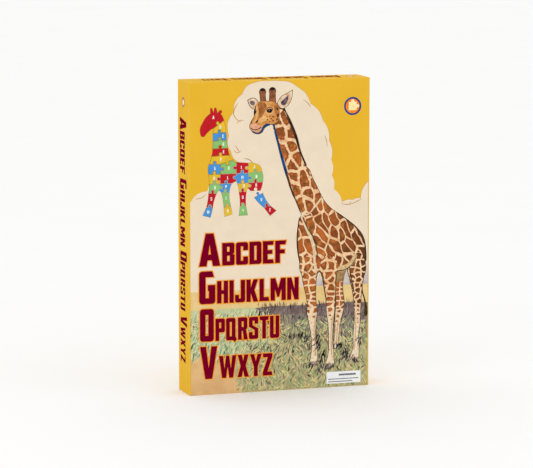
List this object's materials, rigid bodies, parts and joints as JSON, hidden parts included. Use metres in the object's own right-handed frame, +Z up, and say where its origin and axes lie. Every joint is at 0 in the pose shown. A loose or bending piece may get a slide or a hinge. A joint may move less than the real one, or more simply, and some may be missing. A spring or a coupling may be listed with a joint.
{
  "type": "boxed jigsaw puzzle",
  "caption": "Upright rigid lift-off-lid box holding a chunky wooden alphabet jigsaw: interlocking letter pieces form a giraffe inside a giraffe-shaped window of a board insert.",
  "frame": {"origin": "middle of the bottom end, on the surface that the box stands on", "axes": "+Z up along the box's long side, +X to the right as seen from the front, and the lid's face looks along -Y"},
  "size_m": [0.26, 0.052, 0.43],
  "materials": {
    "greyboard": "uncoated recycled greyboard",
    "stay_tape": "kraft paper tape",
    "printed_wrap": "printed art paper, satin varnish",
    "plain_wrap": "plain coloured art paper, satin varnish",
    "insert_board": "white-lined board",
    "red_wood": "satin paint on wood, with a printed letter",
    "yellow_wood": "satin paint on wood, with a printed letter",
    "blue_wood": "satin paint on wood, with a printed letter",
    "green_wood": "satin paint on wood, with a printed letter"
  },
  "bodies": {
    "base": {"base_board": "greyboard", "base_corner_stays": "stay_tape", "base_wrap": "plain_wrap"},
    "lid": {"lid_board": "greyboard", "lid_corner_stays": "stay_tape", "lid_wrap": "printed_wrap"},
    "insert": {"insert_pad": "insert_board", "insert_frame": "insert_board"},
    "piece_a": {"piece_a": "red_wood"},
    "piece_b": {"piece_b": "yellow_wood"},
    "piece_c": {"piece_c": "blue_wood"},
    "piece_d": {"piece_d": "green_wood"},
    "piece_e": {"piece_e": "red_wood"},
    "piece_f": {"piece_f": "yellow_wood"},
    "piece_g": {"piece_g": "blue_wood"},
    "piece_h": {"piece_h": "green_wood"},
    "piece_i": {"piece_i": "red_wood"},
    "piece_j": {"piece_j": "yellow_wood"},
    "piece_k": {"piece_k": "yellow_wood"},
    "piece_l": {"piece_l": "red_wood"},
    "piece_m": {"piece_m": "blue_wood"},
    "piece_n": {"piece_n": "green_wood"},
    "piece_o": {"piece_o": "green_wood"},
    "piece_p": {"piece_p": "blue_wood"},
    "piece_q": {"piece_q": "yellow_wood"},
    "piece_r": {"piece_r": "red_wood"},
    "piece_s": {"piece_s": "red_wood"},
    "piece_t": {"piece_t": "green_wood"},
    "piece_u": {"piece_u": "red_wood"},
    "piece_v": {"piece_v": "blue_wood"},
    "piece_w": {"piece_w": "blue_wood"},
    "piece_x": {"piece_x": "yellow_wood"},
    "piece_y": {"piece_y": "green_wood"},
    "piece_z": {"piece_z": "red_wood"}
  },
  "joints": [
    {"name": "lid_lift", "type": "slide", "parent": "base", "child": "lid", "axis": [0, -1, 0], "range_m": [0, 0.3]},
    {"name": "insert_lift", "type": "slide", "parent": "base", "child": "insert", "axis": [0, -1, 0], "range_m": [0, 0.12]},
    {"name": "piece_a_lift", "type": "slide", "parent": "insert", "child": "piece_a", "axis": [0, -1, 0], "range_m": [0, 0.018]},
    {"name": "piece_b_lift", "type": "slide", "parent": "insert", "child": "piece_b", "axis": [0, -1, 0], "range_m": [0, 0.018]},
    {"name": "piece_c_lift", "type": "slide", "parent": "insert", "child": "piece_c", "axis": [0, -1, 0], "range_m": [0, 0.018]},
    {"name": "piece_d_lift", "type": "slide", "parent": "insert", "child": "piece_d", "axis": [0, -1, 0], "range_m": [0, 0.018]},
    {"name": "piece_e_lift", "type": "slide", "parent": "insert", "child": "piece_e", "axis": [0, -1, 0], "range_m": [0, 0.018]},
    {"name": "piece_f_lift", "type": "slide", "parent": "insert", "child": "piece_f", "axis": [0, -1, 0], "range_m": [0, 0.018]},
    {"name": "piece_g_lift", "type": "slide", "parent": "insert", "child": "piece_g", "axis": [0, -1, 0], "range_m": [0, 0.018]},
    {"name": "piece_h_lift", "type": "slide", "parent": "insert", "child": "piece_h", "axis": [0, -1, 0], "range_m": [0, 0.018]},
    {"name": "piece_i_lift", "type": "slide", "parent": "insert", "child": "piece_i", "axis": [0, -1, 0], "range_m": [0, 0.018]},
    {"name": "piece_j_lift", "type": "slide", "parent": "insert", "child": "piece_j", "axis": [0, -1, 0], "range_m": [0, 0.018]},
    {"name": "piece_k_lift", "type": "slide", "parent": "insert", "child": "piece_k", "axis": [0, -1, 0], "range_m": [0, 0.018]},
    {"name": "piece_l_lift", "type": "slide", "parent": "insert", "child": "piece_l", "axis": [0, -1, 0], "range_m": [0, 0.018]},
    {"name": "piece_m_lift", "type": "slide", "parent": "insert", "child": "piece_m", "axis": [0, -1, 0], "range_m": [0, 0.018]},
    {"name": "piece_n_lift", "type": "slide", "parent": "insert", "child": "piece_n", "axis": [0, -1, 0], "range_m": [0, 0.018]},
    {"name": "piece_o_lift", "type": "slide", "parent": "insert", "child": "piece_o", "axis": [0, -1, 0], "range_m": [0, 0.018]},
    {"name": "piece_p_lift", "type": "slide", "parent": "insert", "child": "piece_p", "axis": [0, -1, 0], "range_m": [0, 0.018]},
    {"name": "piece_q_lift", "type": "slide", "parent": "insert", "child": "piece_q", "axis": [0, -1, 0], "range_m": [0, 0.018]},
    {"name": "piece_r_lift", "type": "slide", "parent": "insert", "child": "piece_r", "axis": [0, -1, 0], "range_m": [0, 0.018]},
    {"name": "piece_s_lift", "type": "slide", "parent": "insert", "child": "piece_s", "axis": [0, -1, 0], "range_m": [0, 0.018]},
    {"name": "piece_t_lift", "type": "slide", "parent": "insert", "child": "piece_t", "axis": [0, -1, 0], "range_m": [0, 0.018]},
    {"name": "piece_u_lift", "type": "slide", "parent": "insert", "child": "piece_u", "axis": [0, -1, 0], "range_m": [0, 0.018]},
    {"name": "piece_v_lift", "type": "slide", "parent": "insert", "child": "piece_v", "axis": [0, -1, 0], "range_m": [0, 0.018]},
    {"name": "piece_w_lift", "type": "slide", "parent": "insert", "child": "piece_w", "axis": [0, -1, 0], "range_m": [0, 0.018]},
    {"name": "piece_x_lift", "type": "slide", "parent": "insert", "child": "piece_x", "axis": [0, -1, 0], "range_m": [0, 0.018]},
    {"name": "piece_y_lift", "type": "slide", "parent": "insert", "child": "piece_y", "axis": [0, -1, 0], "range_m": [0, 0.018]},
    {"name": "piece_z_lift", "type": "slide", "parent": "insert", "child": "piece_z", "axis": [0, -1, 0], "range_m": [0, 0.018]}
  ],
  "couplings": [
    {"joint": "insert_lift", "follows": "lid_lift", "ratio": 0.4}
  ]
}
